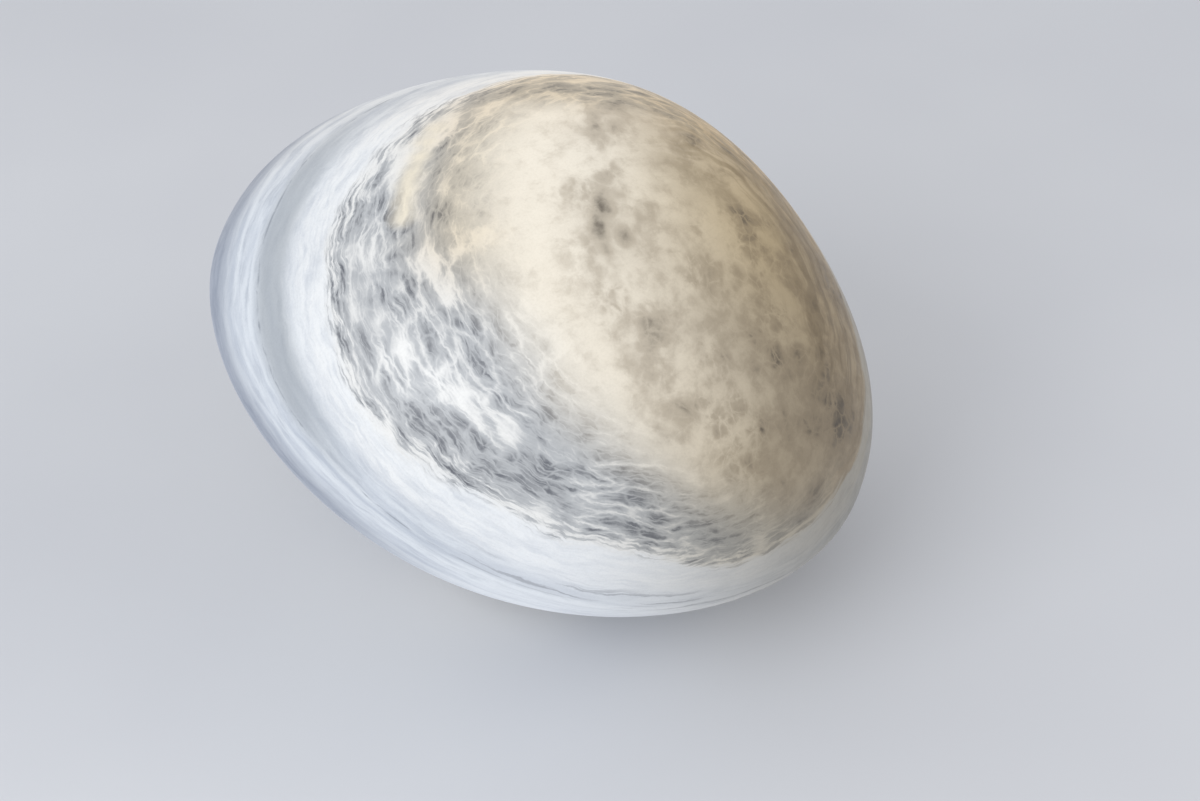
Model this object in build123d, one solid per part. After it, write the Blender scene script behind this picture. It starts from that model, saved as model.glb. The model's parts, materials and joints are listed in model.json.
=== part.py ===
from build123d import *
from math import cos, pi, radians, sin, sqrt
import os

# A marble table lamp: a hollow, leaning egg of stone that lifts off a low metal plinth.
# A lampholder on the plinth carries a globe bulb, which lights the stone from inside.
# Millimetres, +Z up. The origin is the centre of the plinth, on the table.
# +X points to the low side of the leaning egg, where the cable inlet is.

# Stone shell
shell_diameter = 342.0
shell_rise = 142.0
shell_drop = 113.0
rise_taper = -0.218
drop_taper = -0.126
shell_lean = 28.5
shell_wall = 12.0
tip_cut = 4.2
rim_thickness = 13.0
mouth_diameter = 104.0
mouth_margin = 21.3
mouth_round = 1.5
egg_steps = 20

# Base pad, bottom cover and plinth, all round and on one axis
pad_thickness = 2.5
pad_inset = 3.0
cover_thickness = 1.5
cover_clearance = 0.3
plinth_height = 17.5
flange_width = 11.0
crown_height = 24.0
crown_clearance = 1.0
sheet = 1.5
inner_bend = 1.5

# Seat ring under the stone
seat_ring_thickness = 2.0
seat_ring_width = 7.0
stone_gap = 0.3

# Pillars and screws that hold the bottom cover
cover_screw_count = 3
pillar_diameter = 7.0
cover_screw_diameter = 4.0
cover_screw_head = 7.6
cover_screw_head_height = 1.9
cover_screw_depth = 7.0
thread_gap = 0.1
head_hole_clearance = 1.2

# Cross recess and rounding of every pan head, as shares of the head
recess_span_share = 0.55
recess_width_share = 0.13
recess_depth_share = 0.6
head_round_share = 0.4

# Cable inlet bush
inlet_bore_diameter = 6.2
inlet_wall = 1.0
inlet_lip = 0.5
inlet_lip_thickness = 1.5
inlet_lip_round = 0.75
inlet_gap = 0.3

# Threaded tube that carries the lampholder
tube_diameter = 10.0
tube_bore_diameter = 7.0
tube_below = 6.0
tube_above = 10.0
nut_across_flats = 14.0
nut_thickness = 3.0
washer_diameter = 16.0
washer_thickness = 0.8

# Lampholder
holder_diameter = 39.0
holder_boss_diameter = 18.0
holder_boss_height = 5.0
holder_boss_round = 2.0
holder_cap_height = 31.0
holder_cap_wall = 2.0
cap_shoulder_round = 5.0
cap_inner_round = 3.0
rim_round = 0.8
insert_base_height = 19.0
insert_thickness = 6.0
insert_ledge = 2.0
insert_chamfer = 0.4
skirt_length = 28.0
skirt_mouth_diameter = 34.0
skirt_taper_height = 7.0
skirt_taper_round = 3.0
skirt_wall_gap = 0.4
grip_rib_count = 24
grip_rib_radius = 0.9
grip_rib_height = 9.0
grip_rib_depth = 0.6
grip_rib_start = 1.0
terminal_sleeve_diameter = 4.6
contact_width = 5.0
contact_foot = 3.75
contact_bend = 2.5
contact_crest = 2.9
contact_lip = 1.2
contact_thickness = 0.6
contact_rise = 3.6
thread_shell_thickness = 0.4

# Bulb
bulb_diameter = 80.0
bulb_thread_diameter = 26.2
bulb_thread_pitch = 3.63
bulb_thread_turns = 5
bulb_thread_depth = 0.8
bulb_thread_gap = 0.3
bulb_cap_wall = 0.6
bulb_wall = 1.6
bulb_neck_height = 23.0
globe_mouth_diameter = 46.2
housing_plug = 4.0
housing_collar = 3.0
housing_rim = 3.0
housing_step = 0.4
housing_neck_round = 6.0
housing_rim_round = 5.0
housing_inner_round = 4.0
eyelet_diameter = 9.0
eyelet_height = 1.2
eyelet_round = 0.72
insulator_height = 3.0
insulator_step = 0.6
led_board_thickness = 1.2
led_count = 12
led_ring_diameter = 30.0
led_size = 3.0
led_height = 0.7
driver_width = 15.0
driver_height = 20.0
driver_thickness = 1.2

# Terminal block under the crown
pole_pitch = 11.0
pole_count = 3
block_width = 17.0
block_height = 14.0
block_distance = 28.0
block_round = 1.0
clamp_section = 6.0
clamp_length = 13.0
clamp_bore_diameter = 3.2
clamp_rise = 5.9
terminal_screw_diameter = 3.0
terminal_screw_spacing = 7.0
terminal_slot_width = 0.6
terminal_slot_depth = 0.8
block_screw_diameter = 3.0
block_screw_head = 5.4
block_screw_head_height = 1.6

# Wiring inside the lamp
lead_diameter = 2.0
lead_spacing = 2.6
lead_run = 8.0
lead_entry = 4.0
lead_exit = 3.5
lead_bends = (6.0, 5.0, 4.0, 3.0)
earth_lead_bends = (5.0, 5.0, 3.0)
earth_lead_swing = 5.0
terminal_spread = 18.0
terminal_overlap = 4.8
earth_tag_thickness = 0.8
earth_tag_diameter = 9.0
earth_tag_length = 11.0
earth_tag_width = 3.4
earth_crimp = 1.5
earth_screw_diameter = 4.0
earth_screw_head = 7.0
earth_screw_head_height = 2.4
earth_place = (6.0, -35.0)

# Heights that follow from the sizes above
cover_top = pad_thickness + cover_thickness
flange_top = pad_thickness + plinth_height
flat_height = flange_top + seat_ring_thickness + stone_gap
crown_top = flange_top + crown_height
crown_ceiling = crown_top - sheet
crown_radius = mouth_diameter / 2 - crown_clearance
plinth_radius = crown_radius + flange_width
insert_bottom = crown_top + insert_base_height
insert_top = insert_bottom + insert_thickness
skirt_bottom = insert_top
skirt_top = skirt_bottom + skirt_length
cap_rim = crown_top + holder_cap_height
eyelet_bottom = insert_top + contact_rise + stone_gap
thread_radius = bulb_thread_diameter / 2
bulb_shell_bottom = eyelet_bottom + eyelet_height + insulator_height
bulb_shell_top = bulb_shell_bottom + bulb_thread_pitch * bulb_thread_turns
housing_top = bulb_shell_top + bulb_neck_height
globe_centre = housing_top + sqrt(bulb_diameter ** 2 - globe_mouth_diameter ** 2) / 2
block_bottom = crown_ceiling - block_height
clamp_height = block_bottom + clamp_rise


def solid_of_revolution(points, rounded=()):
    """Turn a closed outline of (radius, height) points about +Z, with some corners rounded."""
    face = make_face(Plane.XZ * Polyline(*points, close=True))
    for corner, radius in rounded:
        place = Vector(corner[0], 0, corner[1])
        nearest = min(face.vertices(), key=lambda v: (Vector(*v) - place).length)
        face = fillet(nearest, radius)
    return revolve(face, Axis.Z)


def ring(outer, inner, low, high):
    """A plain tube or washer on +Z."""
    return Pos(0, 0, low) * extrude(Circle(outer) - Circle(inner), high - low)


def disc(radius, low, high):
    """A plain round on +Z."""
    return Pos(0, 0, low) * extrude(Circle(radius), high - low)


def cover_screw_places():
    """Centres of the cover's pillars and screws, in the middle of the plinth's flange."""
    radius = (crown_radius + plinth_radius - sheet) / 2
    return PolarLocations(radius, cover_screw_count, start_angle=180 / cover_screw_count)


def egg_point(angle, inset):
    """A point of the egg's outline: angle zero is the widest ring, a quarter turn is the pointed end."""
    if sin(angle) > 0:
        reach, taper = shell_rise - inset, rise_taper
    else:
        reach, taper = shell_drop - inset, drop_taper
    swell = cos(angle) * (1 + taper * sin(angle) ** 2)
    return ((shell_diameter / 2 - inset) * swell, 0, reach * sin(angle))


def egg(inset):
    """The egg standing upright on its own axis, its widest ring at height zero."""
    points = [egg_point(2 * pi * step / egg_steps, inset) for step in range(egg_steps)]
    outline = Spline(points, periodic=True)
    half = Plane.XZ * Pos(shell_diameter / 2, 0) * Rectangle(shell_diameter, 2 * shell_diameter)
    return revolve(make_face(outline) & half, Axis.Z)


def egg_place():
    """Where the leaning egg stands: its flat lies just above its lower tip, and reaches past the mouth."""
    lean = radians(shell_lean)
    flat_level = tip_cut - shell_drop * cos(lean)
    samples = 4000
    outline = [egg_point(-pi * step / samples, 0) for step in range(samples)]
    flat_edge = min(x * cos(lean) + z * sin(lean) for x, _, z in outline
                    if z * cos(lean) - x * sin(lean) < flat_level)
    shift = -mouth_diameter / 2 - mouth_margin - flat_edge
    return Pos(shift, 0, flat_height - flat_level) * Rot(0, shell_lean, 0)


def half_space(height):
    """A block that holds everything above a height, wide enough for the stone."""
    reach = 2 * shell_diameter
    return Pos(0, 0, height) * Box(reach, reach, reach, align=(Align.CENTER, Align.CENTER, Align.MIN))


def stone_shell():
    """The hollowed stone: a flat underside, a round mouth and an even wall."""
    outside = (egg_place() * egg(0)) & half_space(flat_height)
    inside = (egg_place() * egg(shell_wall)) & half_space(flat_height + rim_thickness)
    mouth = disc(mouth_diameter / 2, flat_height - 1, flat_height + rim_thickness + 1)
    shell = outside - inside - mouth
    underside = shell.faces().sort_by(Axis.Z)[0]
    return fillet(underside.edges(), mouth_round)


def seat_ring():
    """The soft ring that the stone stands on, glued to the plinth's flange."""
    inner = crown_radius + sheet + inner_bend / 2
    return ring(inner + seat_ring_width, inner, flange_top, flange_top + seat_ring_thickness)


def inlet_height():
    """Height of the cable inlet's axis, midway between the cover and the flange."""
    return (cover_top + flange_top - sheet) / 2


def inlet_radius():
    """Radius of the bush where it passes through the plinth's wall."""
    return inlet_bore_diameter / 2 + inlet_wall


def plinth():
    """The pressed pan: a low wall, a flange for the seat ring, and a crown inside the stone's mouth."""
    hole = tube_diameter / 2 + thread_gap
    wall = plinth_radius
    crown = crown_radius
    points = [
        (wall, pad_thickness), (wall, flange_top), (crown, flange_top), (crown, crown_top),
        (hole, crown_top), (hole, crown_ceiling), (crown - sheet, crown_ceiling),
        (crown - sheet, flange_top - sheet), (wall - sheet, flange_top - sheet),
        (wall - sheet, pad_thickness),
    ]
    outer_bend = inner_bend + sheet
    bends = [
        (points[1], outer_bend), (points[2], inner_bend), (points[3], outer_bend),
        (points[6], inner_bend), (points[7], outer_bend), (points[8], inner_bend),
    ]
    pan = solid_of_revolution(points, bends)
    inlet = Cylinder(inlet_radius() + thread_gap, 6 * sheet, rotation=(0, 90, 0))
    pan -= Pos(plinth_radius, 0, inlet_height()) * inlet
    for place in block_screw_places():
        pan -= Pos(*place, crown_top) * Cylinder(block_screw_diameter / 2 + thread_gap, 4 * sheet)
    pan -= Pos(*earth_place, crown_top) * Cylinder(earth_screw_diameter / 2 + thread_gap, 4 * sheet)
    return pan


def bottom_cover():
    """The steel disc that closes the plinth from below."""
    cover = disc(plinth_radius - sheet - cover_clearance, pad_thickness, cover_top)
    hole = disc(cover_screw_diameter / 2 + 2 * thread_gap, pad_thickness - 1, cover_top + 1)
    for place in cover_screw_places():
        cover -= place * hole
    return cover


def base_pad():
    """The soft disc under the cover, with a hole over each screw head."""
    pad = disc(plinth_radius - pad_inset, 0, pad_thickness)
    hole = disc(cover_screw_head / 2 + head_hole_clearance, -1, pad_thickness + 1)
    for place in cover_screw_places():
        pad -= place * hole
    return pad


def cover_pillars():
    """Tapped pillars welded under the flange, one for each cover screw."""
    pillar = disc(pillar_diameter / 2, cover_top, flange_top - sheet)
    pillar -= disc(cover_screw_diameter / 2 + thread_gap, cover_top, cover_top + cover_screw_depth + 1)
    return [place * pillar for place in cover_screw_places()]


def cross_recess(diameter, depth):
    """Two crossed slots, sunk into a screw head from height zero upwards."""
    slot = Box(diameter * recess_span_share, diameter * recess_width_share, depth,
               align=(Align.CENTER, Align.CENTER, Align.MIN))
    return slot + Rot(0, 0, 90) * slot


def upward_screw(diameter, length, head_diameter, head_height):
    """A pan-head screw pointing up, the underside of its head at height zero."""
    head = disc(head_diameter / 2, -head_height, 0)
    head = fillet(head.edges().sort_by(Axis.Z)[0], head_height * head_round_share)
    recess = Pos(0, 0, -head_height) * cross_recess(head_diameter, head_height * recess_depth_share)
    return head + disc(diameter / 2, 0, length) - recess


def cover_screws():
    """Screws through the cover into the pillars."""
    length = cover_thickness + cover_screw_depth
    screw = upward_screw(cover_screw_diameter, length, cover_screw_head, cover_screw_head_height)
    return [place * Pos(0, 0, pad_thickness) * screw for place in cover_screw_places()]


def cable_inlet():
    """The bush in the plinth's rear wall that a cable comes in through."""
    body = inlet_radius()
    lip = body + inlet_lip
    wall_out = plinth_radius + inlet_gap
    wall_in = sqrt((plinth_radius - sheet) ** 2 - lip ** 2) - inlet_gap
    profile = [
        (inlet_bore_diameter / 2, wall_in - inlet_lip_thickness), (lip, wall_in - inlet_lip_thickness),
        (lip, wall_in), (body, wall_in), (body, wall_out), (lip, wall_out),
        (lip, wall_out + inlet_lip_thickness), (inlet_bore_diameter / 2, wall_out + inlet_lip_thickness),
    ]
    rounding = [(profile[6], inlet_lip_round)]
    return Pos(0, 0, inlet_height()) * Rot(0, 90, 0) * solid_of_revolution(profile, rounding)


def threaded_tube():
    """The hollow tube that clamps the lampholder to the crown and carries the leads."""
    return ring(tube_diameter / 2, tube_bore_diameter / 2, crown_top - sheet - tube_below,
                crown_top + tube_above)


def lock_washer():
    """The washer between the crown and the nut."""
    return ring(washer_diameter / 2, tube_diameter / 2 + thread_gap,
                crown_ceiling - washer_thickness, crown_ceiling)


def tube_nut():
    """The hexagon nut on the threaded tube, inside the crown."""
    section = RegularPolygon(nut_across_flats / 2, 6, major_radius=False)
    section -= Circle(tube_diameter / 2 + thread_gap)
    top = crown_ceiling - washer_thickness
    return Pos(0, 0, top - nut_thickness) * extrude(section, nut_thickness)


def holder_cap():
    """The lampholder's lower cup, with its threaded boss and a ledge for the insert."""
    outer = holder_diameter / 2
    inner = outer - holder_cap_wall
    ledge = inner - insert_ledge
    boss = holder_boss_diameter / 2
    boss_top = crown_top + holder_boss_height
    hole = tube_diameter / 2 + thread_gap
    points = [
        (hole, crown_top), (boss, crown_top), (boss, boss_top), (outer, insert_bottom - insert_ledge),
        (outer, cap_rim), (inner, cap_rim), (inner, insert_bottom), (ledge, insert_bottom),
        (ledge, insert_bottom - insert_ledge), (hole, crown_top + tube_above),
    ]
    bends = [(points[2], holder_boss_round), (points[3], cap_shoulder_round), (points[4], rim_round),
             (points[8], cap_inner_round)]
    return solid_of_revolution(points, bends)


def holder_insert():
    """The insulating disc inside the lampholder, drilled for the two terminal sleeves."""
    radius = holder_diameter / 2 - holder_cap_wall - 2 * thread_gap
    insert = disc(radius, insert_bottom, insert_top)
    insert = chamfer(insert.edges(), insert_chamfer)
    hole = disc(terminal_sleeve_diameter / 2 + thread_gap, insert_bottom - 1, insert_top + 1)
    for place in terminal_sleeve_places():
        insert -= place * hole
    return insert


def terminal_sleeve_places():
    """The lampholder's two terminals, one each side of the insert."""
    return [Pos(0, side * terminal_spread / 2, 0) for side in (-1, 1)]


def holder_terminals():
    """Brass sleeves in the insert that the leads end in."""
    bore = lead_diameter / 2 + thread_gap
    sleeve = ring(terminal_sleeve_diameter / 2, bore, insert_bottom, insert_top)
    return [place * sleeve for place in terminal_sleeve_places()]


def centre_contact():
    """The bent strip that the bulb's eyelet presses on."""
    rise = contact_rise - contact_thickness
    bend_start = contact_crest / 2 + contact_bend
    middle = Polyline((-bend_start - contact_foot, 0), (-bend_start, 0), (-contact_crest / 2, rise),
                      (contact_crest / 2, rise), (contact_crest / 2 + contact_lip / 2, rise - contact_lip))
    strip = trace(middle, contact_thickness)
    solid = extrude(Plane.XZ * strip, contact_width / 2, both=True)
    return Pos(0, 0, insert_top + contact_thickness / 2) * solid


def thread_shell():
    """The metal sleeve that the bulb screws into, with a flange on the insert."""
    inner = thread_radius + bulb_thread_gap
    outer = inner + thread_shell_thickness
    top = bulb_shell_top - bulb_thread_gap
    foot = insert_top + thread_shell_thickness
    sleeve = ring(outer, inner, insert_top, top)
    return sleeve + ring(inner + thread_shell_thickness, inner - 2 * thread_shell_thickness, insert_top, foot)


def holder_skirt():
    """The lampholder's outer sleeve: a spigot inside the cup, a ribbed grip and a tapered mouth."""
    inner = thread_radius + bulb_thread_gap + thread_shell_thickness + skirt_wall_gap
    spigot = holder_diameter / 2 - holder_cap_wall - 2 * thread_gap
    outer = holder_diameter / 2
    shoulder = cap_rim + 2 * thread_gap
    points = [
        (inner, skirt_bottom), (spigot, skirt_bottom), (spigot, shoulder), (outer, shoulder),
        (outer, skirt_top - skirt_taper_height), (skirt_mouth_diameter / 2, skirt_top), (inner, skirt_top),
    ]
    skirt = solid_of_revolution(points, [(points[4], skirt_taper_round), (points[5], rim_round)])
    rib = disc(grip_rib_radius, shoulder + grip_rib_start, shoulder + grip_rib_start + grip_rib_height)
    for place in PolarLocations(outer + grip_rib_depth - grip_rib_radius, grip_rib_count):
        skirt += place * rib
    return skirt


def bulb_eyelet():
    """The solder-filled contact at the bottom of the bulb."""
    eyelet = disc(eyelet_diameter / 2, eyelet_bottom, eyelet_bottom + eyelet_height)
    return fillet(eyelet.edges().sort_by(Axis.Z)[0], eyelet_round)


def bulb_insulator():
    """The dark cone between the eyelet and the screw shell."""
    low = eyelet_bottom + eyelet_height
    radius = thread_radius - bulb_thread_depth
    profile = [(0, low), (eyelet_diameter / 2 + insulator_step, low), (radius, bulb_shell_bottom),
               (0, bulb_shell_bottom)]
    return solid_of_revolution(profile)


def bulb_screw_shell():
    """The rolled metal cap of the bulb, its rounded thread in rings: crest and valley arcs meet smoothly."""
    root = thread_radius - bulb_thread_depth
    middle = thread_radius - bulb_thread_depth / 2
    inner = root - bulb_cap_wall
    quarter = bulb_thread_pitch / 4
    low, top = bulb_shell_bottom, bulb_shell_top
    edges = [Polyline((middle, 0, low + quarter), (root, 0, low), (inner, 0, low), (inner, 0, top),
                      (root, 0, top), (middle, 0, top - quarter))]
    for turn in range(bulb_thread_turns):
        crest = low + turn * bulb_thread_pitch + 2 * quarter
        valley = crest + 2 * quarter
        edges.append(ThreePointArc((middle, 0, crest - quarter), (thread_radius, 0, crest),
                                   (middle, 0, crest + quarter)))
        if turn < bulb_thread_turns - 1:
            edges.append(ThreePointArc((middle, 0, valley - quarter), (root, 0, valley),
                                       (middle, 0, valley + quarter)))
    return revolve(make_face(edges), Axis.Z)


def bulb_housing():
    """The bulb's neck: a hollow flared cup that holds the driver and the light board."""
    mouth = globe_mouth_diameter / 2
    root = thread_radius - bulb_thread_depth
    neck = root - bulb_cap_wall - thread_gap
    waist = root + housing_step
    low = bulb_shell_top
    plug = low - housing_plug
    collar = low + housing_collar
    ledge = housing_top - led_board_thickness
    wall = bulb_wall
    points = [
        (neck - wall, plug), (neck, plug), (neck, low), (waist, low), (waist, collar),
        (mouth, housing_top - housing_rim), (mouth, housing_top), (mouth - wall, housing_top),
        (mouth - wall, ledge), (mouth - 2 * wall, ledge), (mouth - 2 * wall, ledge - wall),
        (neck - wall, collar),
    ]
    bends = [(points[4], housing_neck_round), (points[5], housing_rim_round),
             (points[11], housing_inner_round)]
    return solid_of_revolution(points, bends)


def bulb_diffuser():
    """The opal globe, open where it meets the housing."""
    radius = bulb_diameter / 2
    globe = Sphere(radius) - Sphere(radius - bulb_wall)
    globe = Pos(0, 0, globe_centre) * globe
    keep = Pos(0, 0, housing_top) * Cylinder(bulb_diameter, bulb_diameter * 2,
                                             align=(Align.CENTER, Align.CENTER, Align.MIN))
    return globe & keep


def led_board():
    """The metal board that carries the light chips."""
    radius = globe_mouth_diameter / 2 - bulb_wall - 2 * thread_gap
    return disc(radius, housing_top - led_board_thickness, housing_top)


def led_chips():
    """The light chips, in a ring on the board."""
    chip = Box(led_size, led_size, led_height, align=(Align.CENTER, Align.CENTER, Align.MIN))
    places = PolarLocations(led_ring_diameter / 2, led_count)
    return [Pos(0, 0, housing_top) * place * chip for place in places]


def driver_board():
    """The small upright circuit board inside the bulb's neck."""
    top = housing_top - led_board_thickness
    return Pos(0, 0, top) * Box(driver_width, driver_thickness, driver_height,
                                align=(Align.CENTER, Align.CENTER, Align.MAX))


def pole_places():
    """The terminal block's poles, side by side along Y."""
    first = -(pole_count - 1) / 2
    return [(block_distance, (first + pole) * pole_pitch) for pole in range(pole_count)]


def block_screw_places():
    """The terminal block's two fixing screws, between its poles."""
    return [(block_distance, side * pole_pitch / 2) for side in (-1, 1)]


def terminal_screw_places():
    """Two clamping screws for each pole."""
    return [(x + side * terminal_screw_spacing / 2, y) for x, y in pole_places() for side in (-1, 1)]


def terminal_block():
    """The insulating block that joins the cable to the lamp's own leads."""
    block = Box(block_width, pole_pitch * pole_count, block_height,
                align=(Align.CENTER, Align.CENTER, Align.MIN))
    block = Pos(block_distance, 0, block_bottom) * fillet(block.edges().filter_by(Axis.Z), block_round)
    tunnel = Box(2 * block_width, clamp_section + 2 * thread_gap, clamp_section + 2 * thread_gap)
    for x, y in pole_places():
        block -= Pos(x, y, clamp_height) * tunnel
    for place in terminal_screw_places():
        block -= Pos(*place, block_bottom) * Cylinder(terminal_screw_diameter / 2 + 2 * thread_gap,
                                                      2 * (clamp_height - block_bottom))
    for place in block_screw_places():
        block -= Pos(*place, block_bottom) * Cylinder(block_screw_diameter / 2 + thread_gap, 3 * block_height)
    return block


def terminal_clamps():
    """The brass clamps in the block, bored along X and tapped from below."""
    clamps = []
    for x, y in pole_places():
        clamp = Box(clamp_length, clamp_section, clamp_section)
        clamp -= Cylinder(clamp_bore_diameter / 2, 2 * clamp_length, rotation=(0, 90, 0))
        clamps.append(Pos(x, y, clamp_height) * clamp)
    tapping = Cylinder(terminal_screw_diameter / 2 + thread_gap, 2 * clamp_section,
                       align=(Align.CENTER, Align.CENTER, Align.MAX))
    for number, place in enumerate(terminal_screw_places()):
        clamps[number // 2] -= Pos(*place, clamp_height) * tapping
    return clamps


def terminal_screws():
    """Slotted grub screws that hold the wires in the clamps."""
    low = block_bottom + thread_gap
    length = clamp_height - lead_diameter / 2 - low
    screws = []
    for place in terminal_screw_places():
        screw = disc(terminal_screw_diameter / 2, 0, length)
        screw -= Box(terminal_screw_diameter * 2, terminal_slot_width, 2 * terminal_slot_depth)
        screws.append(Pos(*place, low) * screw)
    return screws


def block_screws():
    """Screws that hold the terminal block up against the crown."""
    length = block_height + sheet
    screw = upward_screw(block_screw_diameter, length, block_screw_head, block_screw_head_height)
    return [Pos(*place, block_bottom) * screw for place in block_screw_places()]


def lead(points, radii):
    """A round insulated wire along straight runs joined by arcs."""
    path = FilletPolyline(*points, radius=radii)
    start = path.edges()[0]
    section = Plane(start @ 0, z_dir=start % 0) * Circle(lead_diameter / 2)
    return sweep(section, path)


def holder_lead(side, pole):
    """A wire from one pole, up the tube and out to one side of the insert."""
    x, y = pole_places()[pole]
    block_face = x - clamp_length / 2 - thread_gap
    near = side * lead_spacing / 2
    far = side * terminal_spread / 2
    tube_end = crown_top - sheet - tube_below
    points = [
        (block_face, y, clamp_height), (block_face - lead_run, y, clamp_height),
        (0, near, tube_end - lead_entry), (0, near, crown_top + tube_above),
        (0, far, insert_bottom - lead_exit), (0, far, insert_bottom + terminal_overlap),
    ]
    return lead(points, lead_bends)


def earth_lead():
    """The wire from the earth pole to the tag."""
    x, y = pole_places()[0]
    block_face = x - clamp_length / 2 - thread_gap
    tag_x, tag_y = earth_place
    end = tag_y + earth_tag_length
    height = crown_ceiling - earth_tag_thickness - lead_diameter / 2
    points = [
        (block_face, y, clamp_height), (block_face - lead_run, y, clamp_height),
        (tag_x, y - earth_lead_swing, (clamp_height + height) / 2),
        (tag_x, end + lead_diameter, height), (tag_x, end - earth_crimp, height),
    ]
    return lead(points, earth_lead_bends)


def earth_tag():
    """The ring tag under the crown that the earth wire is crimped to."""
    x, y = earth_place
    top = crown_ceiling
    eye = ring(earth_tag_diameter / 2, earth_screw_diameter / 2 + thread_gap, top - earth_tag_thickness, top)
    tongue = Box(earth_tag_width, earth_tag_length - earth_screw_diameter - 1, earth_tag_thickness,
                 align=(Align.CENTER, Align.MIN, Align.MAX))
    tongue = Pos(0, earth_screw_diameter, top) * tongue
    hole = disc(earth_screw_diameter / 2 + thread_gap, top - 2 * earth_tag_thickness, top + 1)
    return Pos(x, y, 0) * (eye + tongue - hole)


def earth_screw():
    """The screw that clamps the tag to the crown."""
    length = earth_tag_thickness + sheet
    screw = upward_screw(earth_screw_diameter, length, earth_screw_head, earth_screw_head_height)
    return Pos(*earth_place, crown_ceiling - earth_tag_thickness) * screw


def pieces():
    """Every piece of the lamp by name, from the outside in."""
    return {
        "stone_shell": stone_shell(),
        "seat_ring": seat_ring(),
        "plinth": plinth(),
        "bottom_cover": bottom_cover(),
        "base_pad": base_pad(),
        "cover_pillars": cover_pillars(),
        "cover_screws": cover_screws(),
        "cable_inlet": cable_inlet(),
        "threaded_tube": threaded_tube(),
        "lock_washer": lock_washer(),
        "tube_nut": tube_nut(),
        "holder_cap": holder_cap(),
        "holder_insert": holder_insert(),
        "holder_skirt": holder_skirt(),
        "holder_terminals": holder_terminals(),
        "centre_contact": centre_contact(),
        "thread_shell": thread_shell(),
        "terminal_block": terminal_block(),
        "terminal_clamps": terminal_clamps(),
        "terminal_screws": terminal_screws(),
        "block_screws": block_screws(),
        "live_lead": holder_lead(1, 2),
        "neutral_lead": holder_lead(-1, 1),
        "earth_lead": earth_lead(),
        "earth_tag": earth_tag(),
        "earth_screw": earth_screw(),
        "bulb_eyelet": bulb_eyelet(),
        "bulb_insulator": bulb_insulator(),
        "bulb_screw_shell": bulb_screw_shell(),
        "bulb_housing": bulb_housing(),
        "bulb_diffuser": bulb_diffuser(),
        "led_board": led_board(),
        "led_chips": led_chips(),
        "driver_board": driver_board(),
    }


os.makedirs("parts", exist_ok=True)
for name, shape in pieces().items():
    group = Compound(children=shape) if isinstance(shape, list) else shape
    export_step(group, f"parts/{name}.step")
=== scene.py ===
import json

import bpy
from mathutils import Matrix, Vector

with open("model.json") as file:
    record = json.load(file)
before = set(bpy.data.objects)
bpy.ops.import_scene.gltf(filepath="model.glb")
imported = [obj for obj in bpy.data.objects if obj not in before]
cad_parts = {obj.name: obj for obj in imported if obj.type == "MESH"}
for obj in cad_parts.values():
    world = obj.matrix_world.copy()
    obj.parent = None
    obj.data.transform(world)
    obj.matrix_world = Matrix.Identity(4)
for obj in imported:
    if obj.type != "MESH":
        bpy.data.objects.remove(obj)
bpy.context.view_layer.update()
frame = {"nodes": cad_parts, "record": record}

MM_PER_M = 1000.0

# Photograph's size in pixels, and its lens and sensor in millimetres
PICTURE_WIDTH, PICTURE_HEIGHT = 1200, 801
LENS, SENSOR = 70.0, 36.0
# Where its camera stands and what it looks at, in metres
CAMERA_PLACE = (-0.5501, -0.7192, 0.8681)
CAMERA_TARGET = (0.0005, -0.0288, 0.1005)

# Studio, in metres and watts
FLOOR_SIZE = 60.0
LAMP_TARGET = (0.0, 0.0, 0.1)
SURROUND_COLOUR, SURROUND_STRENGTH = (0.93, 0.95, 1.0, 1.0), 0.7

# How much of a lit thing's colour is its own light, and how much of the studio's light it throws back
STONE_GLOW, STONE_LIT = 0.62, 166
GLOBE_GLOW, GLOBE_LIT = 0.58, 160
CHIP_GLOW = 0.6


def srgb(red, green, blue):
    """A colour from 0 to 255, as the linear values that a shader takes."""
    def linear(value):
        value /= 255
        return value / 12.92 if value <= 0.04045 else ((value + 0.055) / 1.055) ** 2.4
    return (linear(red), linear(green), linear(blue), 1.0)


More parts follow.
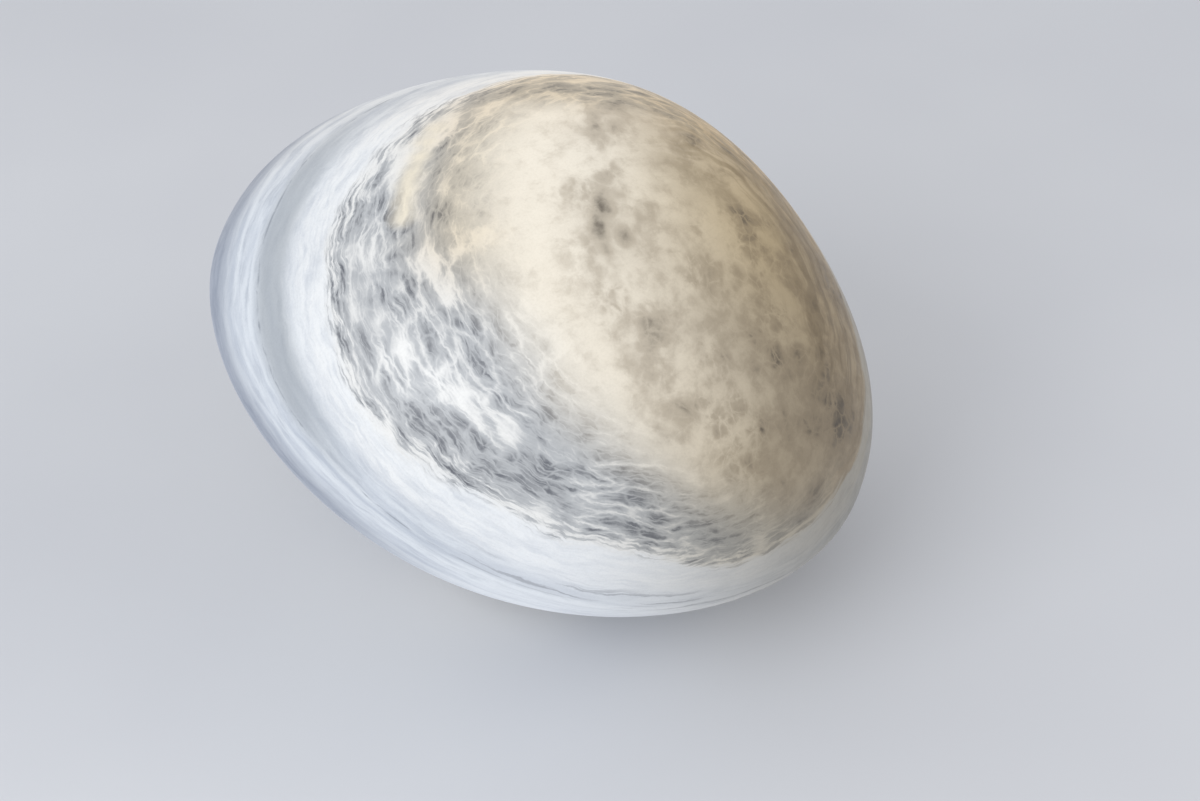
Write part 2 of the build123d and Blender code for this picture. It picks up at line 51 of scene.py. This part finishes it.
class Shader:
    """One material made of nodes. Most methods add one node or more and return an output."""

    def __init__(self, name):
        self.material = bpy.data.materials.new(name)
        self.material.use_nodes = True
        self.tree = self.material.node_tree
        self.tree.nodes.clear()
        output = self.tree.nodes.new("ShaderNodeOutputMaterial")
        self.surface = self.tree.nodes.new("ShaderNodeBsdfPrincipled")
        self.tree.links.new(self.surface.outputs[0], output.inputs["Surface"])
        place = self.tree.nodes.new("ShaderNodeTexCoord").outputs["Object"]
        self.place = self.vector("SCALE", place, scale=MM_PER_M)

    def put(self, socket, value):
        """Links an output to a socket, or sets the socket to a plain value."""
        if isinstance(value, bpy.types.NodeSocket):
            self.tree.links.new(value, socket)
        else:
            socket.default_value = value

    def node(self, kind, inputs, output=0, **settings):
        """A node with its settings and inputs."""
        made = self.tree.nodes.new(kind)
        for key, value in settings.items():
            setattr(made, key, value)
        for key, value in inputs.items():
            self.put(made.inputs[key], value)
        return made.outputs[output]

    def math(self, operation, first, second=0.0):
        return self.node("ShaderNodeMath", {0: first, 1: second}, operation=operation)

    def add(self, first, second):
        return self.math("ADD", first, second)

    def times(self, first, *others):
        """The product of two values or more."""
        product = first
        for other in others:
            product = self.math("MULTIPLY", product, other)
        return product

    def vector(self, operation, first, second=(0, 0, 0), scale=1.0):
        inputs = {0: first, 1: second, 3: scale}
        output = "Value" if operation in ("DOT_PRODUCT", "LENGTH") else "Vector"
        return self.node("ShaderNodeVectorMath", inputs, output, operation=operation)

    def smooth(self, value, low, high, start=0.0, end=1.0):
        """A soft step from start to end as the value goes from low to high."""
        inputs = {"Value": value, "From Min": low, "From Max": high, "To Min": start, "To Max": end}
        return self.node("ShaderNodeMapRange", inputs, interpolation_type="SMOOTHSTEP")

    def band(self, value, start, full, fading, end):
        """One where the value lies between full and fading, falling softly to 0 at start and end."""
        return self.times(self.smooth(value, start, full), self.smooth(value, end, fading))

    def mix(self, amount, first, second, blend="MIX"):
        """Two colours mixed, where amount 0 gives the first."""
        made = self.tree.nodes.new("ShaderNodeMix")
        made.data_type = "RGBA"
        made.blend_type = blend
        for socket, value in ((0, amount), (6, first), (7, second)):
            self.put(made.inputs[socket], value)
        return made.outputs[2]

    def tint(self, amount, colour, other):
        """A colour multiplied by another, where amount 0 leaves it as it is."""
        return self.mix(amount, colour, other, "MULTIPLY")

    def ramp(self, value, light, middle, dark):
        """Light at 0, middle at about a half and dark from 1.25 on."""
        colour = self.mix(self.smooth(value, 0.0, 0.5), light, middle)
        return self.mix(self.smooth(value, 0.45, 1.25), colour, dark)

    def noise(self, place, size, detail=3.0, rough=0.5, kind="FBM", colour=False):
        """Noise whose largest swellings are about size units across."""
        inputs = {"Vector": place, "Scale": 1.0 / size, "Detail": detail, "Roughness": rough}
        return self.node("ShaderNodeTexNoise", inputs, "Color" if colour else 0, noise_type=kind,
                         normalize=True)

    def threads(self, place, detail):
        """Distance from the threads of a net: zero on a thread, about a half in the middle of a mesh."""
        inputs = {"Vector": place, "Scale": 1.0, "Detail": detail, "Roughness": 0.6, "Lacunarity": 2.3}
        return self.node("ShaderNodeTexVoronoi", inputs, feature="DISTANCE_TO_EDGE")

    def stir(self, place, size, reach, detail=2.0, rough=0.5):
        """Moves a place about by noise, up to reach millimetres."""
        noise = self.noise(place, size, detail, rough, colour=True)
        shift = self.vector("SUBTRACT", noise, (0.5, 0.5, 0.5))
        return self.vector("ADD", place, self.vector("SCALE", shift, scale=2 * reach))

    def bump(self, height, depth_mm, strength=1.0):
        """A bump map from a height of 0 to 1 that stands for depth_mm millimetres."""
        inputs = {"Height": height, "Distance": depth_mm / MM_PER_M, "Strength": strength}
        return self.node("ShaderNodeBump", inputs, "Normal")

    def lit(self, colour, grey):
        """What a glowing thing throws back: its colour, darkened by a grey so that the two don't burn out."""
        return self.tint(1.0, colour, srgb(grey, grey, grey))

    def finish(self, **inputs):
        """Sets the shader's own sockets, by name with _ for a space."""
        for name, value in inputs.items():
            self.put(self.surface.inputs[name.replace("_", " ")], value)
        return self.material


# Centre of the stone's widest ring, from which the marble's beds are laid out, and two radii: the widest
# ring's, and that of the ring where the net ends. All in millimetres.
RING_CENTRE = (-12.0, 0.0, 117.4)
WIDEST_RADIUS = 171.0
RING_RADIUS = 140.0
# How steeply the stone's surface turns inwards, for patterns that wind round it
INWARD_SLOPE = 0.8

# Level directions to the photograph's right and away from its camera
RIGHT = (0.78, -0.62, 0.0)
BACK = (0.62, 0.78, 0.0)

# Places that mark the marble's darkest and lightest spots, read off the photograph, in its pixels
NET_DARK = (
    (384, 206), (367, 188), (398, 238), (347, 229), (336, 283), (350, 342), (390, 288), (475, 322),
    (505, 365), (500, 388), (540, 434), (584, 444), (452, 434), (488, 470), (526, 474), (560, 492),
    (582, 518), (609, 470), (631, 487), (622, 520), (664, 520), (649, 540), (702, 519), (735, 555),
)
NET_LIGHT = ((452, 196), (470, 240), (418, 262), (376, 316), (400, 345), (470, 392), (520, 440))
CORE_DARK = (
    (600, 176), (622, 234), (560, 264), (600, 300), (648, 377), (747, 229), (790, 248), (725, 362),
    (800, 356), (698, 403), (738, 407), (733, 474), (790, 440), (783, 500),
)
CORE_LIGHT = (
    (640, 162), (520, 220), (700, 220), (662, 246), (682, 298), (560, 310), (620, 410), (690, 470),
    (808, 420), (760, 520),
)
YELLOW_STREAK = ((436, 128), (426, 142), (419, 157), (413, 172), (408, 187), (404, 202), (401, 217))


def beds_facing(*normal):
    """Two directions along beds of stone and the unit direction across them."""
    across = Vector(normal).normalized()
    along = across.cross(Vector((0, 1, 0))).normalized()
    return along, across.cross(along), across


# Four sets of beds: those round the ring, the net's inner side, the core's and those seen at the far rim
RING_BEDS = beds_facing(0.061, -0.542, 0.838)
NET_BEDS = beds_facing(0.385, -0.498, 0.777)
CORE_BEDS = beds_facing(0.481, -0.566, 0.670)
FAR_BEDS = beds_facing(0.209, -0.588, 0.782)
# How high a plane of each set lies over the ring's centre, in millimetres
RING_LEVEL = 87.0
NET_LEVEL = 91.0
CORE_LEVEL = 107.2
FAR_LEVEL = 112.0
# Single beds of the ring's set, and one band of painted shade: the heights where each starts, is full, fades
# and ends
BRIGHT_BED = (64.0, 80.0, 98.0, 110.0)
SLIVER_BED = (40.0, 52.0, 62.0, 78.0)
GREY_BED = (46.0, 57.0, 66.0, 76.0)
# Not a bed: a band of painted shade round the widest ring, which darkens the stone's left edge
RIM_SHADE = (-34.0, -4.0, 8.0, 36.0)
LOWER_NET = (-98.0, -84.0, -52.0, -44.0)
HAIRLINE_LEVEL, HAIRLINE_WIDTH = 53.0, 1.1


def on_stone(pixel):
    """The point of the stone that the photograph shows at a pixel, in millimetres from the ring's centre."""
    eye = Vector(CAMERA_PLACE)
    ahead = (Vector(CAMERA_TARGET) - eye).normalized()
    right = ahead.cross(Vector((0, 0, 1))).normalized()
    across = (pixel[0] - PICTURE_WIDTH / 2) / PICTURE_WIDTH * SENSOR / LENS
    down = (pixel[1] - PICTURE_HEIGHT / 2) / PICTURE_WIDTH * SENSOR / LENS
    ray = ahead + right * across - right.cross(ahead) * down
    found, place, _, _ = frame["nodes"]["stone_shell"].ray_cast(eye, ray.normalized())
    if not found:
        raise ValueError(f"no stone at pixel {pixel}")
    return place * MM_PER_M - Vector(RING_CENTRE)


class Marble(Shader):
    """Bedded marble lit from inside: white beds, a netted grey-blue bed and a mottled warm core, with painted
    light and shade laid over them.
    """

    def __init__(self):
        super().__init__("marble")
        # Places from the ring's centre, then the same ones folded and stirred ever more finely
        self.centred = self.vector("SUBTRACT", self.place, RING_CENTRE)
        self.folded = self.stir(self.centred, 90.0, 5.0)
        self.stirred = self.stir(self.folded, 26.0, 4.0)
        self.fine = self.stir(self.stirred, 12.0, 2.8, 4.0, 0.6)
        # How far each place lies to the right, to the back and up through the beds
        self.rightward = self.vector("DOT_PRODUCT", self.centred, RIGHT)
        self.backward = self.vector("DOT_PRODUCT", self.centred, BACK)
        self.level = self.height_over(self.folded, RING_BEDS, 0.0)
        self.above_net = self.height_over(self.stirred, NET_BEDS, NET_LEVEL)
        # Patterns that more than one bed uses
        self.grain = self.noise(self.place, 1.1, 2.0, 0.7)
        self.haze = self.noise(self.fine, 9.0, 4.0, 0.65)
        self.fibres = self.noise(self.wound(self.fine, 15.0, 2.4), 1.0, 3.0, 0.6)
        self.wisps = self.noise(self.stretched(self.fine, RING_BEDS, 20.0, 4.5), 1.0, 4.0, 0.6)
        self.long_mesh = self.threads(self.wound(self.fine, 34.0, 9.5), 1.6)
        self.above_ring = self.height_over_ring()

    def height_over(self, place, beds, level):
        """Height above the plane of a set of beds, in millimetres."""
        return self.add(self.vector("DOT_PRODUCT", place, tuple(beds[2])), -level)

    def height_over_ring(self):
        """Height above the ring where the net ends: 10 mm less at the lower front, and fibrous."""
        front = self.times(self.band(self.rightward, -75.0, -25.0, 52.0, 88.0),
                           self.smooth(self.backward, -60.0, -130.0))
        height = self.add(self.height_over(self.stirred, RING_BEDS, RING_LEVEL), self.times(front, -10.0))
        return self.add(height, self.smooth(self.fibres, 0.30, 0.70, -1.8, 1.8))

    def stretched(self, place, beds, length, thickness):
        """A place squeezed so that patterns come out long along the beds and thin across them."""
        spans = (length, length, thickness)
        parts = {key: self.vector("DOT_PRODUCT", place, tuple(direction / span))
                 for key, direction, span in zip("XYZ", beds, spans)}
        return self.node("ShaderNodeCombineXYZ", parts)

    def wound(self, place, length, thickness):
        """A place squeezed so that patterns come out long round the ring and thin down the slope."""
        along, aside, across = RING_BEDS
        height = self.vector("DOT_PRODUCT", place, tuple(across))
        flat = self.vector("SUBTRACT", place, self.vector("SCALE", tuple(across), scale=height))
        radius = self.vector("LENGTH", flat)
        turn = self.vector("SCALE", self.vector("NORMALIZE", flat), scale=RING_RADIUS / length)
        inset = self.times(self.math("SIGN", height), self.math("SUBTRACT", WIDEST_RADIUS, radius))
        slope = self.times(self.add(height, self.times(inset, INWARD_SLOPE)), 1.0 / thickness)
        parts = {"X": self.vector("DOT_PRODUCT", turn, tuple(along)),
                 "Y": self.vector("DOT_PRODUCT", turn, tuple(aside)), "Z": slope}
        return self.node("ShaderNodeCombineXYZ", parts)

    def clouds_at(self, place, pixels, radius):
        """A soft cloud from 1 down to 0 at its radius round each of some of the photograph's pixels."""
        total = 0.0
        for pixel in pixels:
            away = self.vector("LENGTH", self.vector("SUBTRACT", place, tuple(on_stone(pixel))))
            total = self.add(total, self.smooth(away, radius, 0.0))
        return self.math("MINIMUM", total, 1.0)

    def net(self):
        """Netted bed: smoky blue-grey lenses under bright threads."""
        smoke = self.noise(self.wound(self.stirred, 48.0, 15.0), 1.0, 3.0, 0.55)
        smoke = self.add(smoke, self.times(self.clouds_at(self.stirred, NET_DARK, 16.0), 0.20))
        smoke = self.add(smoke, self.times(self.clouds_at(self.stirred, NET_LIGHT, 15.0), -0.16))
        into_net = self.add(self.above_ring, self.smooth(self.fibres, 0.3, 0.7, -5.0, 2.0))
        faintness = self.smooth(self.noise(self.folded, 38.0, 2.0), 0.40, 0.62, 0.30, 0.74)
        short_mesh = self.threads(self.wound(self.fine, 13.0, 3.4), 0.0)
        darkness = self.times(self.smooth(smoke, 0.28, 0.66, 0.2, 1.0),
                              self.smooth(into_net, -3.0, 7.0, 0.2, 1.0),
                              self.smooth(self.long_mesh, 0.0, 0.12, faintness, 1.0),
                              self.smooth(short_mesh, 0.0, 0.13, 0.74, 1.0),
                              self.smooth(self.haze, 0.25, 0.7, 0.8, 1.1),
                              self.smooth(self.fibres, 0.32, 0.68, 0.84, 1.12))
        return self.ramp(darkness, srgb(240, 240, 238), srgb(185, 188, 191), srgb(100, 103, 111))

    def warmed(self, net):
        """The net, yellower towards the core."""
        warmth = self.times(self.smooth(self.above_net, -28.0, 6.0),
                            self.smooth(self.backward, -118.0, -70.0))
        return self.tint(warmth, net, srgb(251, 236, 211))

    def white_beds(self):
        """Outer beds: faint clouds and streaks, a grey bed, a dark hairline and the brightest bed."""
        drifts = self.noise(self.stretched(self.stirred, RING_BEDS, 60.0, 9.0), 1.0, 4.0, 0.55)
        # The outer beds' blue-white is partly the marble's white and partly painted cool light from the left.
        beds = self.mix(self.smooth(drifts, 0.34, 0.70), srgb(222, 228, 235), srgb(190, 198, 210))
        beds = self.mix(self.smooth(self.wisps, 0.44, 0.76, 0.0, 0.7), beds, srgb(176, 184, 196))
        grey = self.times(self.band(self.level, *GREY_BED),
                          self.smooth(self.rightward, -70.0, -115.0, 0.05, 0.75))
        beds = self.mix(grey, beds, srgb(166, 172, 178))
        from_hairline = self.math("ABSOLUTE", self.add(self.level, -HAIRLINE_LEVEL))
        hairline = self.times(self.smooth(from_hairline, HAIRLINE_WIDTH, 0.0),
                              self.smooth(self.wisps, 0.42, 0.60, 0.0, 0.8))
        beds = self.mix(hairline, beds, srgb(140, 147, 157))
        bright = self.times(self.band(self.level, *BRIGHT_BED),
                            self.smooth(self.wisps, 0.40, 0.66, 0.95, 0.62),
                            self.smooth(self.fibres, 0.36, 0.70, 1.0, 0.62))
        return self.mix(bright, beds, srgb(241, 243, 244))

    def with_slivers(self, beds):
        """The white beds, paler with painted cool light and crossed by a few dark slivers at the lower front.
        """
        front = self.times(self.smooth(self.backward, -50.0, -110.0),
                           self.smooth(self.rightward, -60.0, 0.0))
        # Painted cool light: the lower front paler and bluer.
        beds = self.mix(self.times(front, 0.4), beds, srgb(232, 236, 241))
        slivers = self.noise(self.wound(self.fine, 42.0, 3.4), 1.0, 3.0, 0.55)
        slivers = self.times(self.smooth(slivers, 0.54, 0.66), front,
                             self.band(self.level, *SLIVER_BED), 0.7)
        return self.mix(slivers, beds, srgb(146, 150, 158))

    def with_lower_beds(self, beds, net):
        """The white beds, with a band of painted shade round the widest ring on the left, grey drifts below
        it and a second net.
        """
        # Painted shade: the stone darkened round the widest ring on the left side, with wisps through it.
        rim = self.times(self.band(self.level, *RIM_SHADE),
                         self.smooth(self.rightward, -30.0, -110.0, 0.1, 0.95),
                         self.smooth(self.wisps, 0.3, 0.7, 1.0, 0.7))
        beds = self.mix(rim, beds, srgb(120, 130, 149))
        drifts = self.noise(self.stretched(self.stirred, RING_BEDS, 150.0, 17.0), 1.0, 3.0, 0.5)
        drifts = self.times(self.smooth(self.level, 0.0, -24.0), self.smooth(drifts, 0.44, 0.60, 0.0, 0.7))
        beds = self.mix(drifts, beds, srgb(160, 168, 182))
        return self.mix(self.times(self.band(self.level, *LOWER_NET), 0.85), beds, net)

    def core(self):
        """Warm core: smooth cream, then rounder smoky patches crossed by threads."""
        patches = self.noise(self.stretched(self.stirred, CORE_BEDS, 26.0, 16.0), 1.0, 3.0, 0.5)
        marked = self.times(self.clouds_at(self.stirred, CORE_DARK, 19.0), 0.64)
        patches = self.math("MAXIMUM", patches, marked)
        patches = self.add(patches, self.times(self.clouds_at(self.stirred, CORE_LIGHT, 26.0), -0.18))
        large_cells = self.threads(self.stretched(self.fine, CORE_BEDS, 13.0, 8.0), 1.5)
        small_cells = self.threads(self.stretched(self.fine, CORE_BEDS, 8.0, 6.0), 1.0)
        large_faintness = self.smooth(self.noise(self.folded, 30.0, 2.0), 0.40, 0.60, 0.25, 0.85)
        small_faintness = self.smooth(self.rightward, 20.0, 95.0, 0.95, 0.5)
        darkness = self.times(self.smooth(patches, 0.38, 0.76, 0.0, 0.9),
                              self.smooth(large_cells, 0.0, 0.18, large_faintness, 1.0),
                              self.smooth(small_cells, 0.0, 0.09, small_faintness, 1.0))
        veil = self.smooth(self.noise(self.folded, 55.0, 3.0, 0.55), 0.34, 0.66, 0.0, 0.26)
        mottled = self.smooth(self.height_over(self.stirred, CORE_BEDS, CORE_LEVEL), -14.0, 10.0)
        darkness = self.times(self.add(darkness, veil), mottled)
        darkness = self.add(darkness, self.smooth(self.haze, 0.38, 0.8, 0.0, 0.24))
        return self.ramp(darkness, srgb(245, 237, 221), srgb(203, 193, 176), srgb(88, 80, 70))

    def yellow_streak(self):
        """How much of the yellow streak lies at a place."""
        streak = self.clouds_at(self.stir(self.centred, 12.0, 2.0), YELLOW_STREAK, 9.5)
        return self.times(streak, self.smooth(self.long_mesh, 0.0, 0.25, 0.85, 0.45))

    def far_lines(self):
        """How dark the thin lines are that follow the far rim."""
        height = self.height_over(self.folded, FAR_BEDS, FAR_LEVEL)
        lines = self.noise(self.stretched(self.stirred, FAR_BEDS, 70.0, 2.6), 1.0, 3.0, 0.6)
        return self.times(self.band(height, -24.0, -10.0, 16.0, 30.0),
                          self.smooth(self.rightward, 40.0, 90.0),
                          self.smooth(self.backward, -90.0, -50.0),
                          self.smooth(lines, 0.44, 0.60, 0.0, 0.6))

    def painted_light_and_shade(self, colour, inner):
        """Painted light and shade: the glow painted warmer at the back and on the right, and painted shade
        that makes it weaker towards the low side, on the right.
        """
        # Painted warm light: a warm tint on the right and at the back, mostly in the inner beds.
        warmth = self.times(self.smooth(self.rightward, 20.0, 110.0),
                            self.smooth(self.backward, -110.0, -20.0, 0.35, 0.9),
                            self.smooth(inner, 0.0, 1.0, 0.3, 1.0))
        colour = self.tint(warmth, colour, srgb(247, 230, 192))
        # Painted warm light: a little warmer again towards the back.
        colour = self.tint(self.smooth(self.backward, -30.0, 60.0), colour, srgb(255, 249, 241))
        # Painted shade: darker towards the right, less so at the back.
        shade = self.times(self.smooth(self.rightward, -8.0, 160.0),
                           self.smooth(self.backward, 60.0, 0.0, 0.55, 1.0))
        return self.tint(shade, colour, srgb(146, 140, 130))

    def dressed(self):
        """Puts the beds together and gives the finished material."""
        net = self.net()
        far_side = self.times(self.smooth(self.level, 126.0, 112.0), self.smooth(self.backward, -5.0, 30.0))
        netted = self.math("MAXIMUM", self.smooth(self.above_net, 24.0, -8.0), far_side)
        colour = self.mix(netted, self.core(), self.warmed(net))
        colour = self.mix(self.yellow_streak(), colour, srgb(244, 234, 212))
        colour = self.mix(self.far_lines(), colour, srgb(160, 145, 110))
        outer = self.with_lower_beds(self.with_slivers(self.white_beds()), net)
        inner = self.smooth(self.above_ring, -2.5, 3.0)
        colour = self.painted_light_and_shade(self.mix(inner, outer, colour), inner)
        colour = self.tint(self.smooth(self.grain, 0.35, 0.75, 0.0, 0.07), colour, srgb(120, 120, 120))
        polish = self.smooth(self.haze, 0.3, 0.8, 0.32, 0.42)
        return self.finish(Base_Color=self.lit(colour, STONE_LIT), Emission_Color=colour,
                           Emission_Strength=STONE_GLOW, Roughness=polish,
                           Normal=self.bump(self.grain, 0.04, 0.35))


def speckled(name, light, dark, size, roughness, metallic=0.0, depth_mm=0.03, coat=0.0):
    """A moulded, coated or plated surface: a fine mottle in colour, roughness and relief."""
    shader = Shader(name)
    mottle = shader.noise(shader.place, size, 4.0, 0.6)
    wear = shader.noise(shader.place, size * 14, 3.0, 0.55)
    colour = shader.mix(shader.smooth(mottle, 0.3, 0.7), srgb(*light), srgb(*dark))
    colour = shader.mix(shader.smooth(wear, 0.5, 0.75, 0.0, 0.35), colour, srgb(*dark))
    sheen = shader.smooth(shader.add(mottle, wear), 0.6, 1.4, roughness - 0.06, roughness + 0.10)
    return shader.finish(Base_Color=colour, Roughness=sheen, Metallic=metallic, Coat_Weight=coat,
                         Normal=shader.bump(mottle, depth_mm, 0.6))


def felt():
    """Pressed felt: short fibres lying every way."""
    shader = Shader("pressed_felt")
    place = shader.stir(shader.place, 4.0, 2.0)
    fibres = shader.noise(place, 0.9, 5.0, 0.7, "RIDGED_MULTIFRACTAL")
    tufts = shader.noise(shader.place, 6.0, 3.0, 0.6)
    colour = shader.mix(shader.smooth(fibres, 0.2, 0.9), srgb(34, 34, 36), srgb(66, 66, 70))
    colour = shader.mix(shader.smooth(tufts, 0.4, 0.7, 0.0, 0.4), colour, srgb(28, 28, 30))
    return shader.finish(Base_Color=colour, Roughness=0.95, Normal=shader.bump(fibres, 0.35))


def striped_lead():
    """Green insulation with yellow stripes."""
    shader = Shader("green_yellow_lead")
    wave = shader.node("ShaderNodeTexWave", {"Vector": shader.place, "Scale": 0.1, "Distortion": 0.5})
    colour = shader.mix(shader.smooth(wave, 0.45, 0.55), srgb(40, 120, 50), srgb(228, 200, 40))
    return shader.finish(Base_Color=colour, Roughness=0.45)


def opal():
    """The bulb's opal globe, lit almost evenly."""
    shader = Shader("opal_globe")
    haze = shader.noise(shader.place, 18.0, 3.0, 0.5)
    colour = shader.mix(shader.smooth(haze, 0.3, 0.7), srgb(255, 241, 218), srgb(249, 231, 202))
    return shader.finish(Base_Color=shader.lit(colour, GLOBE_LIT), Emission_Color=colour,
                         Emission_Strength=GLOBE_GLOW, Roughness=0.35)


def phosphor():
    """The light chips' yellow gel."""
    shader = Shader("phosphor")
    gel = shader.noise(shader.place, 1.5, 2.0)
    colour = shader.mix(shader.smooth(gel, 0.35, 0.65), srgb(246, 214, 90), srgb(236, 196, 70))
    return shader.finish(Base_Color=colour, Emission_Color=colour, Emission_Strength=CHIP_GLOW, Roughness=0.3)


# Speckled finishes by slot: light and dark colour, size of the mottle in millimetres, and roughness
SPECKLED = {
    "seat_rubber": ((38, 38, 40), (26, 26, 28), 1.2, 0.7),
    "black_nylon": ((34, 34, 35), (24, 24, 25), 0.8, 0.5),
    "block_plastic": ((226, 223, 214), (212, 208, 198), 1.4, 0.45),
    "lead_brown": ((112, 66, 40), (94, 54, 32), 1.5, 0.42),
    "lead_blue": ((52, 100, 182), (40, 84, 160), 1.5, 0.42),
    "bulb_white": ((238, 237, 233), (228, 227, 222), 2.4, 0.38),
    "white_board": ((240, 240, 240), (226, 228, 228), 2.0, 0.35),
}
# The same for bare metal, and for lacquered or glazed surfaces, which have a coat's weight as well
METAL = {
    "zinc_steel": ((198, 200, 203), (168, 171, 176), 1.6, 0.34),
    "brass": ((214, 178, 104), (184, 146, 80), 1.4, 0.30),
    "nickel": ((208, 204, 196), (182, 178, 170), 1.8, 0.24),
    "solder": ((190, 190, 188), (160, 160, 158), 1.0, 0.36),
}
COATED = {
    "black_bakelite": ((38, 34, 32), (24, 22, 21), 2.2, 0.26, 0.3),
    "porcelain": ((238, 236, 228), (224, 221, 212), 3.0, 0.16, 0.5),
    "black_glass": ((30, 30, 34), (20, 20, 24), 2.0, 0.14, 0.6),
    "green_board": ((38, 112, 62), (28, 92, 50), 1.2, 0.35, 0.3),
}


def slot_materials():
    """A finish for every material slot of the record."""
    finishes = {slot: speckled(slot, *values) for slot, values in SPECKLED.items()}
    finishes.update({slot: speckled(slot, *values, metallic=1.0) for slot, values in METAL.items()})
    finishes.update({slot: speckled(slot, *values[:-1], coat=values[-1]) for slot, values in COATED.items()})
    finishes["dark_powder_coat"] = speckled("dark_powder_coat", (52, 49, 46), (38, 36, 34), 0.7, 0.5,
                                            metallic=0.35, depth_mm=0.06)
    finishes["marble"] = Marble().dressed()
    finishes["pad_felt"] = felt()
    finishes["lead_green_yellow"] = striped_lead()
    finishes["opal_diffuser"] = opal()
    finishes["led_phosphor"] = phosphor()
    return finishes


def dress_nodes():
    """Gives each carried-over piece the finish of its slot."""
    finishes = slot_materials()
    for part in frame["record"]["subparts"]:
        piece = frame["nodes"][part["node"]]
        piece.data.materials.clear()
        piece.data.materials.append(finishes[part["material_slot"]])


def floor():
    """A plain pale floor that the lamp stands on."""
    bpy.ops.mesh.primitive_plane_add(size=FLOOR_SIZE)
    plane = bpy.context.object
    plane.name = "floor"
    shader = Shader("pale_floor")
    tone = shader.noise(shader.place, 400.0, 3.0)
    colour = shader.mix(shader.smooth(tone, 0.3, 0.7), srgb(214, 215, 217), srgb(208, 209, 212))
    plane.data.materials.append(shader.finish(Base_Color=colour, Roughness=0.6))


def add_to_scene(name, data, place, target):
    """An object for a light or camera that stands at a place and points at a target."""
    made = bpy.data.objects.new(name, data)
    made.location = place
    made.rotation_euler = (Vector(target) - Vector(place)).to_track_quat("-Z", "Y").to_euler()
    bpy.context.scene.collection.objects.link(made)
    return made


def area_light(name, place, size, watts, colour):
    """A square soft light that points at the lamp."""
    data = bpy.data.lights.new(name, "AREA")
    data.shape = "SQUARE"
    data.size = size
    data.energy = watts
    data.color = colour
    add_to_scene(name, data, place, LAMP_TARGET)


def lights():
    """Soft studio light: a large key from the left, a weaker fill and an even surround."""
    area_light("key", place=(-1.8, -0.4, 1.5), size=1.4, watts=24.0, colour=(0.93, 0.96, 1.0))
    area_light("fill", place=(1.2, -1.6, 1.4), size=1.6, watts=10.0, colour=(1.0, 0.98, 0.95))
    world = bpy.data.worlds.new("studio")
    world.use_nodes = True
    background = world.node_tree.nodes["Background"]
    background.inputs["Color"].default_value = SURROUND_COLOUR
    background.inputs["Strength"].default_value = SURROUND_STRENGTH
    bpy.context.scene.world = world


def camera():
    """The photograph's view."""
    data = bpy.data.cameras.new("photo_view")
    data.lens = LENS
    data.sensor_width = SENSOR
    data.sensor_fit = "HORIZONTAL"
    bpy.context.scene.camera = add_to_scene("photo_view", data, CAMERA_PLACE, CAMERA_TARGET)


camera()
dress_nodes()
floor()
lights()
bpy.context.scene.view_settings.view_transform = "Standard"
